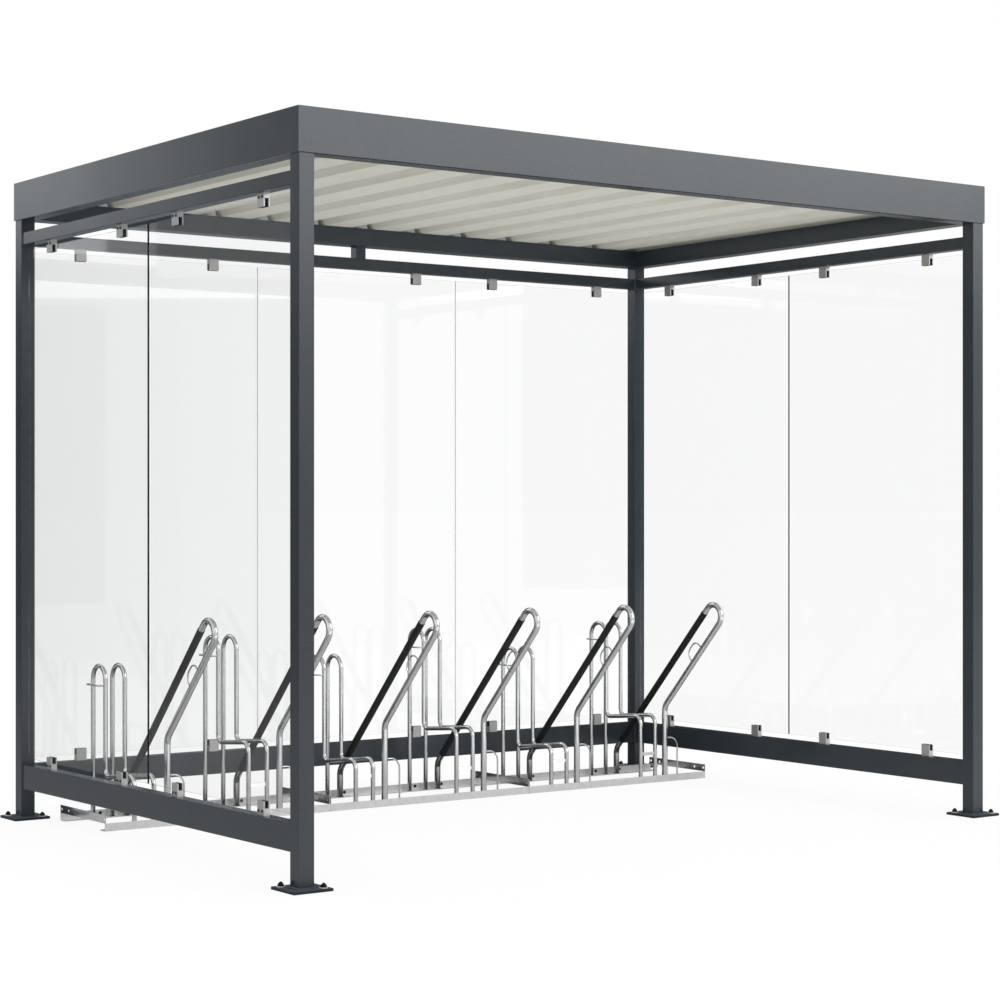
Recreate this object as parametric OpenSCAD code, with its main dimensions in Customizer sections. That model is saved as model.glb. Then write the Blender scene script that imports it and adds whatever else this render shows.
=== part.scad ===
// Open-fronted bike shelter: a steel frame with glazed side and back walls, a flat
// roof behind a fascia, and three floor-standing rack units for six bicycles.
// Origin on the ground midway between the four posts, +Y towards the glazed back wall.

/* [Frame] */
// Spacing of the posts along the open front, centre to centre
post_span_x = 3288; // [2600:1:4200]
// Spacing of the posts from front to back, centre to centre
post_span_y = 2250; // [1900:1:3000]
// Side of a square post
post_w = 60; // [54:1:90]
// Height of the underside of the roof beams
beam_z = 2498; // [2000:1:3000]
// Outer corner radius of the posts, rails and beams
tube_r = 1.5; // [1:0.5:5]

/* [Feet] */
// Side of a square base plate
plate_w = 155; // [140:1:220]
// Thickness of a base plate
plate_t = 10; // [6:1:20]
// Circle through the two anchor holes of a base plate
anchor_pcd = 150; // [130:1:160]
// Diameter of an anchor hole
anchor_hole_d = 14; // [10:1:18]

/* [Rails] */
// Width of the lower and upper rails
rail_w = 50; // [40:1:52]
// Underside of the lower rails above the ground
lower_rail_z = 127; // [60:1:300]
// Height of the lower rails
lower_rail_h = 100; // [60:1:140]
// Height of the upper rails
upper_rail_h = 50; // [40:1:60]
// Gap between the upper rails and the roof beams
upper_rail_gap = 55; // [20:1:120]
// Side of the square strut over the back wall
strut_w = 50; // [30:1:52]

/* [Roof] */
// Height of the roof beams
beam_h = 80; // [60:1:120]
// Width of the front and back beams
beam_w = 80; // [62:1:100]
// Width of the side beams
side_beam_w = 68; // [62:1:100]
// Rise of the fascia above the ribs of the roof
fascia_rise = 40; // [26:1:90]
// Thickness of the fascia face
fascia_t = 5; // [3:0.5:10]
// Depth of the folded top of the fascia
fascia_fold = 48; // [30:1:80]
// Thickness of the folded top and its lip
fold_t = 3; // [2:0.5:5]
// Drop of the lip at the inner edge of the fold
fold_lip = 16; // [8:1:25]
// Thickness of the trapezoidal roof sheet
sheet_t = 1; // [0.7:0.1:1.5]
// Spacing of the ribs in the roof sheet
rib_pitch = 263; // [180:1:340]
// Height of a rib
rib_h = 35; // [20:1:50]
// Width of a rib at its crown
rib_crown_w = 93; // [60:1:110]
// Width of a rib at its mouth
rib_mouth_w = 119; // [112:1:160]
// Place of the middle rib from the middle of the roof
rib_shift = -8; // [-60:1:60]
// Room between the roof sheet and the side fascias
sheet_room = 5; // [2:1:10]
// Room between the ends of the roof sheet and the front and back fascias
sheet_end_room = 34; // [10:1:50]

/* [Glass] */
// Thickness of the panes
glass_t = 8; // [6:1:12]
// Gap between two panes
pane_gap = 10; // [6:1:20]
// Gap between a pane and a post
pane_end_gap = 8; // [4:1:20]
// Width of a glass clamp along the wall
clamp_w = 45; // [36:1:80]
// Height of a glass clamp
clamp_h = 50; // [44:1:80]
// Thickness of a glass clamp through the wall
clamp_t = 25; // [20:1:40]
// Height of the pane's seat above the lower rail
clamp_seat = 25; // [10:1:30]
// Drop of the pane's top edge below the upper rail
clamp_head = 21; // [10:1:30]
// Distance of a clamp from the middle of its pane
clamp_reach = 318; // [150:1:400]
// Room between a pane and the cheeks of a clamp
clamp_room = 2; // [0.5:0.5:3]

/* [Rack] */
// Room between the left post and the rack
rack_left_room = 59; // [10:1:120]
// Room between the rack and the right post
rack_right_room = 5; // [2:1:60]
// Room between the rack and the back rails
rack_back_room = 128; // [20:1:300]
// Depth of the rack over its two floor rails
rack_depth = 417; // [380:1:480]
// Gap between two rack units
unit_gap = 4; // [2:1:10]
// Height of a floor rail
angle_h = 32; // [25:1:45]
// Width of a floor rail on the ground
angle_w = 46; // [42:1:60]
// Thickness of a floor rail
angle_t = 4; // [3:0.5:6]
// Height of a cross bar
cross_h = 33; // [25:1:45]
// Thickness of a cross bar
cross_t = 3; // [2:0.5:8]
// Diameter of a bolt hole in a cross bar
cross_hole_d = 12; // [8:1:14]
// Spacing of the two holes at each end of a cross bar
cross_hole_pitch = 65; // [40:1:90]

/* [Wheel holders] */
// Diameter of a holder bar
holder_d = 19; // [14:1:22]
// Spacing of the two bars of a holder, centre to centre
holder_gauge = 88; // [70:1:100]
// Middle of the first holder from the left end of its unit
holder_x = 179; // [120:1:200]
// Rear leg of a holder in front of the rear rail's upright
holder_inset = 23; // [12:1:30]
// Width of the hairpin over the wheel, centre to centre
hairpin_w = 116; // [90:1:140]
// Top of a low holder
low_top = 650; // [560:1:700]
// Top of a high holder
high_top = 753; // [710:1:820]
// Height of a low holder's dip
low_dip = 183; // [150:1:200]
// Height of a high holder's dip
high_dip = 297; // [260:1:310]
// Height of a low holder's front crest
low_crest = 213; // [205:1:260]
// Height of a high holder's front crest
high_crest = 318; // [312:1:370]
// Bend radius at the dip
dip_r = 30; // [24:1:40]
// Bend radius at the crest
crest_r = 40; // [28:1:50]

/* [Lean frames] */
// Diameter of a lean frame's tube
lean_d = 26.9; // [21:0.1:30]
// Lean frame to the right of the middle of its holder
lean_x = 107; // [95:1:130]
// Top of a lean frame
lean_top = 863; // [760:1:960]
// Slope of a lean frame from the ground
lean_angle = 46.2; // [44:0.1:48]
// Height of the bend in the rear leg
lean_rear_z = 125; // [110:1:150]
// Height of the bend in the front leg
lean_front_z = 356; // [340:1:370]
// Rear leg in front of the rear rail's upright
lean_inset = 28; // [16:1:32]
// Bend radius of the two legs
lean_r = 60; // [45:1:80]
// Wall of the sleeve
sleeve_t = 1.6; // [1:0.1:3]
// Room between the sleeve and its tube
sleeve_room = 0.2; // [0.1:0.1:0.4]
// Bare tube between the sleeve and the bends
sleeve_end_gap = 32; // [10:1:60]
// Diameter of the locking eyes' wire
wire_d = 7; // [5:1:10]
// Height of the locking hoop beside the front leg
hoop_top = 205; // [150:1:260]
// Reach of the locking hoop
hoop_w = 77; // [60:1:100]
// Bend radius of the locking hoop
hoop_r = 45; // [25:1:55]
// Locking eye from the bend in the front leg
eye_start = 298; // [200:1:340]
// Length of the locking eye
eye_l = 94; // [84:1:110]
// Height of the locking eye over the tube's axis
eye_h = 62; // [45:1:72]
// Bend radius of the locking eye
eye_r = 38; // [20:1:40]
// Reach of the locking loop beside a holder
loop_w = 34; // [26:1:45]
// Bend radius of the locking loop
loop_r = 16; // [8:1:22]
// Room between the locking loop's ends and their bar
loop_room = 0.2; // [0.1:0.1:0.4]

/* [Hidden] */
$fn = 48;
overrun = 1;
right_turn = 90;
half_turn = 180;
full_turn = 360;
corner_steps = 4;
bend_lap = 1;
bend_slim = 0.15;
places = 2;
hand = ["left", "middle", "right"];

post_x = post_span_x / 2;
post_y = post_span_y / 2;
frame_x = post_x + post_w / 2;
frame_y = post_y + post_w / 2;
bay_x = post_span_x - post_w;
bay_y = post_span_y - post_w;
beam_top = beam_z + beam_h;
fascia_x = frame_x + fascia_t;
fascia_y = frame_y + fascia_t;

fascia_h = beam_h + rib_h + sheet_t + fascia_rise;

lower_rail_top = lower_rail_z + lower_rail_h;
upper_rail_top = beam_z - upper_rail_gap;
upper_rail_z = upper_rail_top - upper_rail_h;
pane_z = lower_rail_top + clamp_seat;
pane_h = upper_rail_z - clamp_head - pane_z;
slot_w = glass_t + 2 * clamp_room;

units = len(hand);
rack_x = rack_left_room - bay_x / 2;
rack_y = post_y - rail_w / 2 - rack_back_room - rack_depth;
unit_l = (bay_x - rack_left_room - rack_right_room - (units - 1) * unit_gap) / units;
unit_pitch = unit_l + unit_gap;
place_pitch = unit_pitch / places;
front_upright = rack_y + angle_t;
rear_upright = rack_y + rack_depth - angle_t;
foot_z = angle_t;
holder_front = front_upright + holder_d / 2;
holder_rear = rear_upright - holder_inset;
holder_mid = holder_rear - hairpin_w;
loop_drop = 20;
holder_heights = [[low_top, low_dip, low_crest], [high_top, high_dip, high_crest]];
lean_front = front_upright + lean_d / 2;
lean_rear = rear_upright - lean_inset;

// A lean frame's slope as a direction and the normal that points up from it
slope = [-cos(lean_angle), sin(lean_angle)];
normal = [sin(lean_angle), cos(lean_angle)];
front_bend = [lean_front, lean_front_z];
rear_bend = [lean_rear, lean_rear_z];
lean_gauge = (rear_bend - front_bend) * normal;
lean_turn = lean_gauge / 2;
lean_mid = (front_bend + rear_bend) / 2;
lean_reach = (lean_top - lean_d / 2 - lean_turn - lean_mid[1]) / slope[1];
lean_head = lean_mid + slope * (lean_reach + lean_turn);
lean_path = [
    [lean_rear, foot_z], rear_bend, lean_head + normal * lean_turn,
    lean_head - normal * lean_turn, front_bend, [lean_front, foot_z]];
lean_bends = [0, lean_r, lean_turn, lean_turn, lean_r, 0];

POST_NAMES = ["front_left", "front_right", "back_left", "back_right"];
POST_PLACES = [[-post_x, -post_y], [post_x, -post_y], [-post_x, post_y], [post_x, post_y]];

// Square tube outline with rounded corners
function corner_arc(x, y, start) = [
    for (k = [0 : corner_steps])
        let (a = start + right_turn * k / corner_steps) [x + tube_r * cos(a), y + tube_r * sin(a)]];

module tube_outline(w, h) {
    x = w / 2 - tube_r;
    y = h / 2 - tube_r;
    polygon(concat(
        corner_arc(x, y, 0), corner_arc(-x, y, right_turn),
        corner_arc(-x, -y, half_turn), corner_arc(x, -y, half_turn + right_turn)));
}

// Tubes of a given length along X or Y, resting on z = 0 and centred on the other two axes
module tube_x(l, w, h) {
    translate([-l / 2, 0, h / 2]) rotate([right_turn, 0, right_turn])
        linear_extrude(l) tube_outline(w, h);
}

module tube_y(l, w, h) {
    rotate([0, 0, right_turn]) tube_x(l, w, h);
}

// Bent bar in the XY plane: straight lengths and arcs along a path of corners. The bends are
// a little slimmer than the straight lengths, as cold bends are, and run into their ends.
// Two bends with nothing between them are one arc.
function heading(a, b) = atan2(b[1] - a[1], b[0] - a[0]);
function wrapped(a) = a > half_turn ? a - full_turn : a < -half_turn ? a + full_turn : a;
function turn_at(p, i) = wrapped(heading(p[i], p[i + 1]) - heading(p[i - 1], p[i]));
function is_end(p, i) = i == 0 || i == len(p) - 1;
function setback(p, r, i) = is_end(p, i) ? 0 : r[i] * tan(abs(turn_at(p, i)) / 2);
function straight_l(p, r, i) = norm(p[i + 1] - p[i]) - setback(p, r, i) - setback(p, r, i + 1);
function is_straight(p, r, i) = straight_l(p, r, i) > bend_lap;

module bent_bar(p, r, d) {
    last = len(p) - 1;
    for (i = [0 : last - 1]) if (is_straight(p, r, i)) {
        a = heading(p[i], p[i + 1]);
        lap = is_end(p, i) ? 0 : bend_lap;
        from = p[i] + [cos(a), sin(a)] * (setback(p, r, i) - lap);
        l = straight_l(p, r, i) + lap + (is_end(p, i + 1) ? 0 : bend_lap);
        translate([from[0], from[1], 0]) rotate([0, right_turn, a]) cylinder(h = l, d = d);
    }
    for (i = [1 : last - 1]) if (i == 1 || is_straight(p, r, i - 1)) {
        a = heading(p[i - 1], p[i]);
        t = turn_at(p, i) + (is_straight(p, r, i) ? 0 : turn_at(p, i + 1));
        side = sign(t);
        hub = p[i] - [cos(a), sin(a)] * setback(p, r, i) + side * r[i] * [-sin(a), cos(a)];
        translate([hub[0], hub[1], 0])
            rotate([0, 0, side > 0 ? a - right_turn : a + right_turn + t])
                rotate_extrude(angle = abs(t)) translate([r[i], 0]) circle(d = d - 2 * bend_slim);
    }
}

// Turns a shape in the XY plane upright, so that its x runs along Y and its y along Z
module upright_y() {
    rotate([right_turn, 0, right_turn]) children();
}

// Turns a shape in the XY plane upright, so that its x runs along X and its y along Z
module upright_x() {
    rotate([right_turn, 0, 0]) children();
}

module post(at) {
    color("#3d4347") translate([at[0], at[1], plate_t])
        linear_extrude(beam_z - plate_t) tube_outline(post_w, post_w);
}

// Foot of a post, with two anchor holes on one diagonal
module base_plate(at) {
    color("#3d4347") translate([at[0], at[1], 0]) difference() {
        linear_extrude(plate_t) tube_outline(plate_w, plate_w);
        for (a = [-right_turn / 2, half_turn - right_turn / 2])
            rotate([0, 0, a]) translate([anchor_pcd / 2, 0, -overrun])
                cylinder(h = plate_t + 2 * overrun, d = anchor_hole_d);
    }
}

module side_rail(side, z, h) {
    color("#3d4347") translate([side * post_x, 0, z]) tube_y(bay_y, rail_w, h);
}

module back_rail(z, h) {
    color("#3d4347") translate([0, post_y, z]) tube_x(bay_x, rail_w, h);
}

module back_strut() {
    color("#3d4347") translate([0, post_y, upper_rail_top])
        linear_extrude(beam_z - upper_rail_top) tube_outline(strut_w, strut_w);
}

module long_beam(side) {
    color("#3d4347") translate([0, side * (frame_y - beam_w / 2), beam_z])
        tube_x(2 * frame_x, beam_w, beam_h);
}

module side_beam(side) {
    color("#3d4347") translate([side * (frame_x - side_beam_w / 2), 0, beam_z])
        tube_y(2 * (frame_y - beam_w), side_beam_w, beam_h);
}

// Fascia along X with its face on y = 0, folded over at the top and mitred at both ends
module fascia(l) {
    color("#474d52") intersection() {
        translate([-l / 2, 0, 0]) rotate([right_turn, 0, right_turn]) linear_extrude(l) polygon([
            [0, 0], [fascia_t, 0], [fascia_t, fascia_h - fold_t],
            [fascia_fold - fold_t, fascia_h - fold_t], [fascia_fold - fold_t, fascia_h - fold_lip],
            [fascia_fold, fascia_h - fold_lip], [fascia_fold, fascia_h], [0, fascia_h]]);
        translate([0, 0, -overrun]) linear_extrude(fascia_h + 2 * overrun) polygon([
            [-l / 2, 0], [l / 2, 0], [l / 2 - fascia_fold, fascia_fold], [fascia_fold - l / 2, fascia_fold]]);
    }
}

module long_fascia(side) {
    rotate([0, 0, side > 0 ? half_turn : 0]) translate([0, -fascia_y, beam_z]) fascia(2 * fascia_x);
}

module side_fascia(side) {
    rotate([0, 0, side * right_turn]) translate([0, -fascia_x, beam_z]) fascia(2 * fascia_y);
}

// Roof sheet: a trapezoidal profile in X and Z, run from front to back
sheet_x = frame_x - sheet_room;
sheet_y = frame_y - sheet_end_room;
rib_reach = floor((sheet_x - rib_shift - rib_mouth_w / 2) / rib_pitch);
rib_back = floor((sheet_x + rib_shift - rib_mouth_w / 2) / rib_pitch);
sheet_line = concat(
    [[-sheet_x, 0]],
    [for (k = [-rib_back : rib_reach], q = [
        [-rib_mouth_w / 2, 0], [-rib_crown_w / 2, rib_h], [rib_crown_w / 2, rib_h], [rib_mouth_w / 2, 0]])
        [rib_shift + k * rib_pitch + q[0], q[1]]],
    [[sheet_x, 0]]);

module roof_sheet() {
    last = len(sheet_line) - 1;
    color("#d9d7cc") translate([0, sheet_y, beam_top]) upright_x() linear_extrude(2 * sheet_y)
        polygon(concat(sheet_line, [for (k = [last : -1 : 0]) sheet_line[k] + [0, sheet_t]]));
}

// Width and middle of a pane when a wall of width l takes a number of panes
function pane_w(l, count) = (l - 2 * pane_end_gap - (count - 1) * pane_gap) / count;
function pane_at(l, count, k) = (k - (count - 1) / 2) * (pane_w(l, count) + pane_gap);

module pane(w) {
    color("#cfe3e6", 0.35) translate([-w / 2, -glass_t / 2, pane_z]) cube([w, glass_t, pane_h]);
}

module side_pane(side, k) {
    translate([side * post_x, pane_at(bay_y, 2, k), 0])
        rotate([0, 0, right_turn]) pane(pane_w(bay_y, 2));
}

module back_pane(k) {
    translate([pane_at(bay_x, 3, k), post_y, 0]) pane(pane_w(bay_x, 3));
}

// Clamp that stands on z = 0 with a slot for the pane, its floor at the given seat
module clamp(seat) {
    color("#b9bcbd") difference() {
        translate([-clamp_w / 2, -clamp_t / 2, 0]) cube([clamp_w, clamp_t, clamp_h]);
        translate([-clamp_w / 2 - overrun, -slot_w / 2, seat])
            cube([clamp_w + 2 * overrun, slot_w, clamp_h]);
    }
}

// Four clamps on each pane of a wall along X
module wall_clamps(l, count) {
    for (k = [0 : count - 1], side = [-1, 1]) {
        x = pane_at(l, count, k) + side * clamp_reach;
        translate([x, 0, lower_rail_top]) clamp(clamp_seat);
        translate([x, 0, upper_rail_z]) rotate([half_turn, 0, 0]) clamp(clamp_head);
    }
}

module side_clamps(side) {
    translate([side * post_x, 0, 0]) rotate([0, 0, right_turn]) wall_clamps(bay_y, 2);
}

module back_clamps() {
    translate([0, post_y, 0]) wall_clamps(bay_x, 3);
}

function unit_x(k) = rack_x + k * unit_pitch;
function place_x(k, j) = unit_x(k) + holder_x + j * place_pitch;

// Floor rails of a rack unit: two angles with their uprights outside
module angle_outline() {
    polygon([
        [0, 0], [angle_w, 0], [angle_w, angle_t], [angle_t, angle_t], [angle_t, angle_h], [0, angle_h]]);
}

module rack_rails(k) {
    color("#a9acac") translate([unit_x(k), rack_y, 0]) {
        upright_y() linear_extrude(unit_l) angle_outline();
        translate([0, rack_depth, 0]) upright_y() linear_extrude(unit_l)
            mirror([1, 0, 0]) angle_outline();
    }
}

// Flat cross bars on the uprights at both ends of each unit
module rack_cross_bars() {
    color("#b1b4b4") for (k = [0 : units - 1], x = [0, unit_l - cross_t])
        translate([unit_x(k) + x, rack_y, angle_h]) difference() {
            cube([cross_t, rack_depth, cross_h]);
            for (y = [cross_hole_d, cross_hole_d + cross_hole_pitch], end = [0, 1])
                translate([-overrun, end == 0 ? y : rack_depth - y, cross_h / 2])
                    rotate([0, right_turn, 0])
                        cylinder(h = cross_t + 2 * overrun, d = cross_hole_d);
        }
}

// One bar of a wheel holder: rear leg, hairpin, dip, crest and front leg
module holder_bar(top, dip, crest) {
    z = top - holder_d / 2;
    upright_y() bent_bar(
        [[holder_rear, foot_z], [holder_rear, z], [holder_mid, z],
            [holder_mid, dip], [holder_front, crest], [holder_front, foot_z]],
        [0, hairpin_w / 2, hairpin_w / 2, dip_r, crest_r, 0], holder_d);
}

// Two like bars, one on each side of the wheel
module wheel_holder(k, j) {
    h = holder_heights[j];
    color("#b9bcbc") for (side = [-1, 1])
        translate([place_x(k, j) + side * holder_gauge / 2, 0, 0]) holder_bar(h[0], h[1], h[2]);
}

// Locking loop of wire between the two uprights of a bar, bent out to the left, with its
// ends coped to the bar
module locking_loop(top) {
    z = top - holder_d / 2 - hairpin_w / 2 - loop_drop;
    translate([0, 0, z]) difference() {
        bent_bar(
            [[0, holder_rear], [-loop_w, holder_rear], [-loop_w, holder_mid], [0, holder_mid]],
            [0, loop_r, loop_r, 0], wire_d);
        for (y = [holder_rear, holder_mid]) translate([0, y, -wire_d / 2 - overrun])
            cylinder(h = wire_d + 2 * overrun, d = holder_d + 2 * loop_room);
    }
}

module locking_loops(k) {
    color("#b9bcbc") for (j = [0 : places - 1])
        translate([place_x(k, j) - holder_gauge / 2, 0, 0]) locking_loop(holder_heights[j][0]);
}

// Point on the lower slope of a lean frame, at a distance along it and above its axis
function on_slope(along, above) = front_bend + slope * along + normal * above;

module lean_frame() {
    upright_y() bent_bar(lean_path, lean_bends, lean_d);
    upright_y() bent_bar(
        [on_slope(eye_start, 0), on_slope(eye_start, eye_h),
            on_slope(eye_start + eye_l, eye_h), on_slope(eye_start + eye_l, 0)],
        [0, eye_r, eye_r, 0], wire_d);
    translate([0, lean_front, 0]) upright_x() bent_bar(
        [[0, hoop_top], [hoop_w, hoop_top], [hoop_w, foot_z]], [0, hoop_r, 0], wire_d);
}

module lean_frames(k) {
    color("#b4b7b7") for (j = [0 : places - 1]) translate([place_x(k, j) + lean_x, 0, 0]) lean_frame();
}

// Soft sleeves round the upper slopes of the lean frames
module lean_sleeve() {
    bore = lean_d + 2 * sleeve_room;
    start = rear_bend + slope * (setback(lean_path, lean_bends, 1) + sleeve_end_gap);
    end = lean_head + normal * lean_turn - slope * (lean_turn + sleeve_end_gap);
    l = norm(end - start);
    translate([0, start[0], start[1]]) rotate([right_turn - lean_angle, 0, 0]) difference() {
        cylinder(h = l, d = bore + 2 * sleeve_t);
        translate([0, 0, -overrun]) cylinder(h = l + 2 * overrun, d = bore);
    }
}

module lean_sleeves() {
    color("#26282a") for (k = [0 : units - 1], j = [0 : places - 1])
        translate([place_x(k, j) + lean_x, 0, 0]) lean_sleeve();
}

for (i = [0 : len(POST_NAMES) - 1]) {
    post(POST_PLACES[i]);
    base_plate(POST_PLACES[i]);
}
side_rail(-1, lower_rail_z, lower_rail_h);  // lower_rail_left
side_rail(1, lower_rail_z, lower_rail_h);  // lower_rail_right
back_rail(lower_rail_z, lower_rail_h);  // lower_rail_back
side_rail(-1, upper_rail_z, upper_rail_h);  // upper_rail_left
side_rail(1, upper_rail_z, upper_rail_h);  // upper_rail_right
back_rail(upper_rail_z, upper_rail_h);  // upper_rail_back
back_strut();
long_beam(-1);  // roof_beam_front
long_beam(1);  // roof_beam_back
side_beam(-1);  // roof_beam_left
side_beam(1);  // roof_beam_right
long_fascia(-1);  // fascia_front
long_fascia(1);  // fascia_back
side_fascia(-1);  // fascia_left
side_fascia(1);  // fascia_right
roof_sheet();
side_pane(-1, 0);  // glass_left_front
side_pane(-1, 1);  // glass_left_back
side_pane(1, 0);  // glass_right_front
side_pane(1, 1);  // glass_right_back
side_clamps(-1);  // glass_clamps_left
side_clamps(1);  // glass_clamps_right
back_clamps();  // glass_clamps_back
for (k = [0 : units - 1]) {
    back_pane(k);
    rack_rails(k);
    for (j = [0 : places - 1])
        wheel_holder(k, j);
    locking_loops(k);
    lean_frames(k);
}
rack_cross_bars();
lean_sleeves();
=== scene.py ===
import math
import bpy
import numpy as np
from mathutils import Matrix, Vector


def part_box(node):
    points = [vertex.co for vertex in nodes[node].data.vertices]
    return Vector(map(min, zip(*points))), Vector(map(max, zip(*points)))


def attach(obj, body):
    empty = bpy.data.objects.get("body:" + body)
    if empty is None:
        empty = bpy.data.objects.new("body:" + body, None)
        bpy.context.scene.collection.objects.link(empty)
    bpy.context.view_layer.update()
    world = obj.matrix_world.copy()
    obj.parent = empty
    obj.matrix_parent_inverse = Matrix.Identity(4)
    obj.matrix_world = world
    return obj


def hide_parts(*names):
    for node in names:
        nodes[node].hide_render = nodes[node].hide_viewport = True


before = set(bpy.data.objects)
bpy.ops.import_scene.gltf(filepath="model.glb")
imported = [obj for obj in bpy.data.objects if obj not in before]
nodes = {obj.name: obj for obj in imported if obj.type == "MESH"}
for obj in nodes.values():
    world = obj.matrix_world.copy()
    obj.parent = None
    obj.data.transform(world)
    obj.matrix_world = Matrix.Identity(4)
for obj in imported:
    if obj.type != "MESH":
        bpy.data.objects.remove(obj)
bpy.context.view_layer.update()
scene = bpy.context.scene
scene.view_settings.view_transform = "Standard"
mm = 0.001
fullTurn = 2 * math.pi
print("frame loaded:", len(nodes), "nodes")

# Camera: level, at eye height, to the left of the open front
view = {
    "place": (-5.6594, -7.8446, 1.29),
    "azimuth": 35.775,  # degrees from straight ahead towards the right
    "lens": 82.845,     # mm on the sensor below
    "sensor": 36,
    "rise": 0.0096,     # shift of the frame, the horizon lies a little under its middle
    "clipEnd": 2000,    # m
}


def addCamera(view):
    data = bpy.data.cameras.new("camera")
    data.sensor_width = view["sensor"]
    data.lens = view["lens"]
    data.shift_y = view["rise"]
    data.clip_end = view["clipEnd"]
    camera = bpy.data.objects.new("camera", data)
    camera.location = view["place"]
    camera.rotation_euler = (math.radians(90), 0, -math.radians(view["azimuth"]))
    scene.collection.objects.link(camera)
    scene.camera = camera


addCamera(view)
print("camera set")


# Node trees: a socket is linked, anything else is set on the input
def addNode(tree, kind, inputs=None, **settings):
    made = tree.nodes.new("ShaderNode" + kind)
    for key, value in settings.items():
        setattr(made, key, value)
    for key, value in (inputs or {}).items():
        if isinstance(value, bpy.types.NodeSocket):
            tree.links.new(value, made.inputs[key])
        else:
            made.inputs[key].default_value = value
    return made


def newFinish(name):
    finish = bpy.data.materials.new(name)
    finish.use_nodes = True
    tree = finish.node_tree
    shader = tree.nodes["Principled BSDF"]
    coords = addNode(tree, "TexCoord").outputs["Object"]
    return finish, tree, shader, coords


def rgba(colour):
    return (*colour, 1)


def mathNode(tree, operation, first, second=0.0):
    return addNode(tree, "Math", {0: first, 1: second}, operation=operation).outputs[0]


noiseRange = (0.3, 0.7)  # where most of a noise's values lie


def noise(tree, coords, size, detail=3, stretch=(1, 1, 1)):
    # noise with blotches of about the given size in metres
    scaled = addNode(tree, "Mapping", {"Vector": coords, "Scale": stretch}).outputs[0]
    return addNode(tree, "TexNoise", {"Vector": scaled, "Scale": 1 / size, "Detail": detail}).outputs[0]


def mixColour(tree, factor, first, second):
    mix = addNode(tree, "Mix", {"Factor": factor}, data_type="RGBA")
    for socket, value in ((mix.inputs[6], first), (mix.inputs[7], second)):
        if isinstance(value, bpy.types.NodeSocket):
            tree.links.new(value, socket)
        else:
            socket.default_value = rgba(value)
    return mix.outputs[2]


def spread(tree, value, low, high, toLow, toHigh):
    # straight run from one range to another, held at its ends
    names = {"Value": value, "From Min": low, "From Max": high, "To Min": toLow, "To Max": toHigh}
    return addNode(tree, "MapRange", names).outputs[0]


def bump(tree, height, distance, strength):
    inputs = {"Height": height, "Distance": distance, "Strength": strength}
    return addNode(tree, "Bump", inputs).outputs[0]


# Powder coat on the frame: fine grain in the coat, slight clouding of colour and gloss
coat = {
    "colour": (0.030, 0.040, 0.050),
    "clouding": 0.10,        # share by which the colour drifts
    "cloud": 0.35,           # m
    "flecking": 0.30,        # the same for fine flecks
    "fleck": 6 * mm,
    "grain": 3.2 * mm,
    "bump": (0.10 * mm, 0.3),  # depth of the grain, and how much of it shows
    "gloss": (0.22, 0.28),   # roughness range
    "glossRun": (0.2, 0.8),  # of the clouding, over which the gloss changes
    "specular": 0.5,
    "backCoat": (0.36, 0.37, 0.40),  # on the fascia's inner side
}
# The base plates have a flatter coat, bluer, with dust on top and darker edges; the darker sides are
# painted shade
plateCoat = {**coat, "colour": (0.060, 0.078, 0.098), "gloss": (0.55, 0.70), "specular": 0.2,
             "clouding": 0.2}
# dust on the plates' tops; its edge entry is the share of the coat colour left on their sides, as painted
# shade
dustAndShade = {"colour": (0.10, 0.12, 0.14), "patch": 26 * mm, "run": (0.42, 0.70), "most": 0.5,
        "edge": 0.45, "skin": 0.5 * mm}


def powderCoat(name, coat):
    finish, tree, shader, coords = newFinish(name)
    cloud = noise(tree, coords, coat["cloud"])
    drift = coat["clouding"] + coat["flecking"]
    fleck = mathNode(tree, "MULTIPLY", noise(tree, coords, coat["fleck"], 2), coat["flecking"] / drift)
    both = mathNode(tree, "ADD", mathNode(tree, "MULTIPLY", cloud, coat["clouding"] / drift), fleck)
    low = [c * (1 - drift) for c in coat["colour"]]
    high = [c * (1 + drift) for c in coat["colour"]]
    tree.links.new(mixColour(tree, both, low, high), shader.inputs["Base Color"])
    tree.links.new(spread(tree, cloud, *coat["glossRun"], *coat["gloss"]), shader.inputs["Roughness"])
    shader.inputs["Specular IOR Level"].default_value = coat["specular"]
    tree.links.new(bump(tree, noise(tree, coords, coat["grain"]), *coat["bump"]), shader.inputs["Normal"])
    return finish, tree, shader, coords


def dustAndShadeCoat(name, coat, dustAndShade):
    finish, tree, shader, coords = powderCoat(name, coat)
    painted = shader.inputs["Base Color"].links[0].from_socket
    height = addNode(tree, "SeparateXYZ", {0: coords}).outputs["Z"]
    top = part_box("base_plate_front_left")[1].z
    onTop = mathNode(tree, "GREATER_THAN", height, top - dustAndShade["skin"])
    patches = spread(tree, noise(tree, coords, dustAndShade["patch"], 4), *dustAndShade["run"], 0, dustAndShade["most"])
    # painted shade: below the top skin the plate's sides are darkened to a share of the coat colour
    shadedSides = mixColour(tree, onTop, [c * dustAndShade["edge"] for c in coat["colour"]], painted)
    dusted = mixColour(tree, mathNode(tree, "MULTIPLY", onTop, patches), shadedSides, dustAndShade["colour"])
    tree.links.new(dusted, shader.inputs["Base Color"])
    return finish


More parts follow.
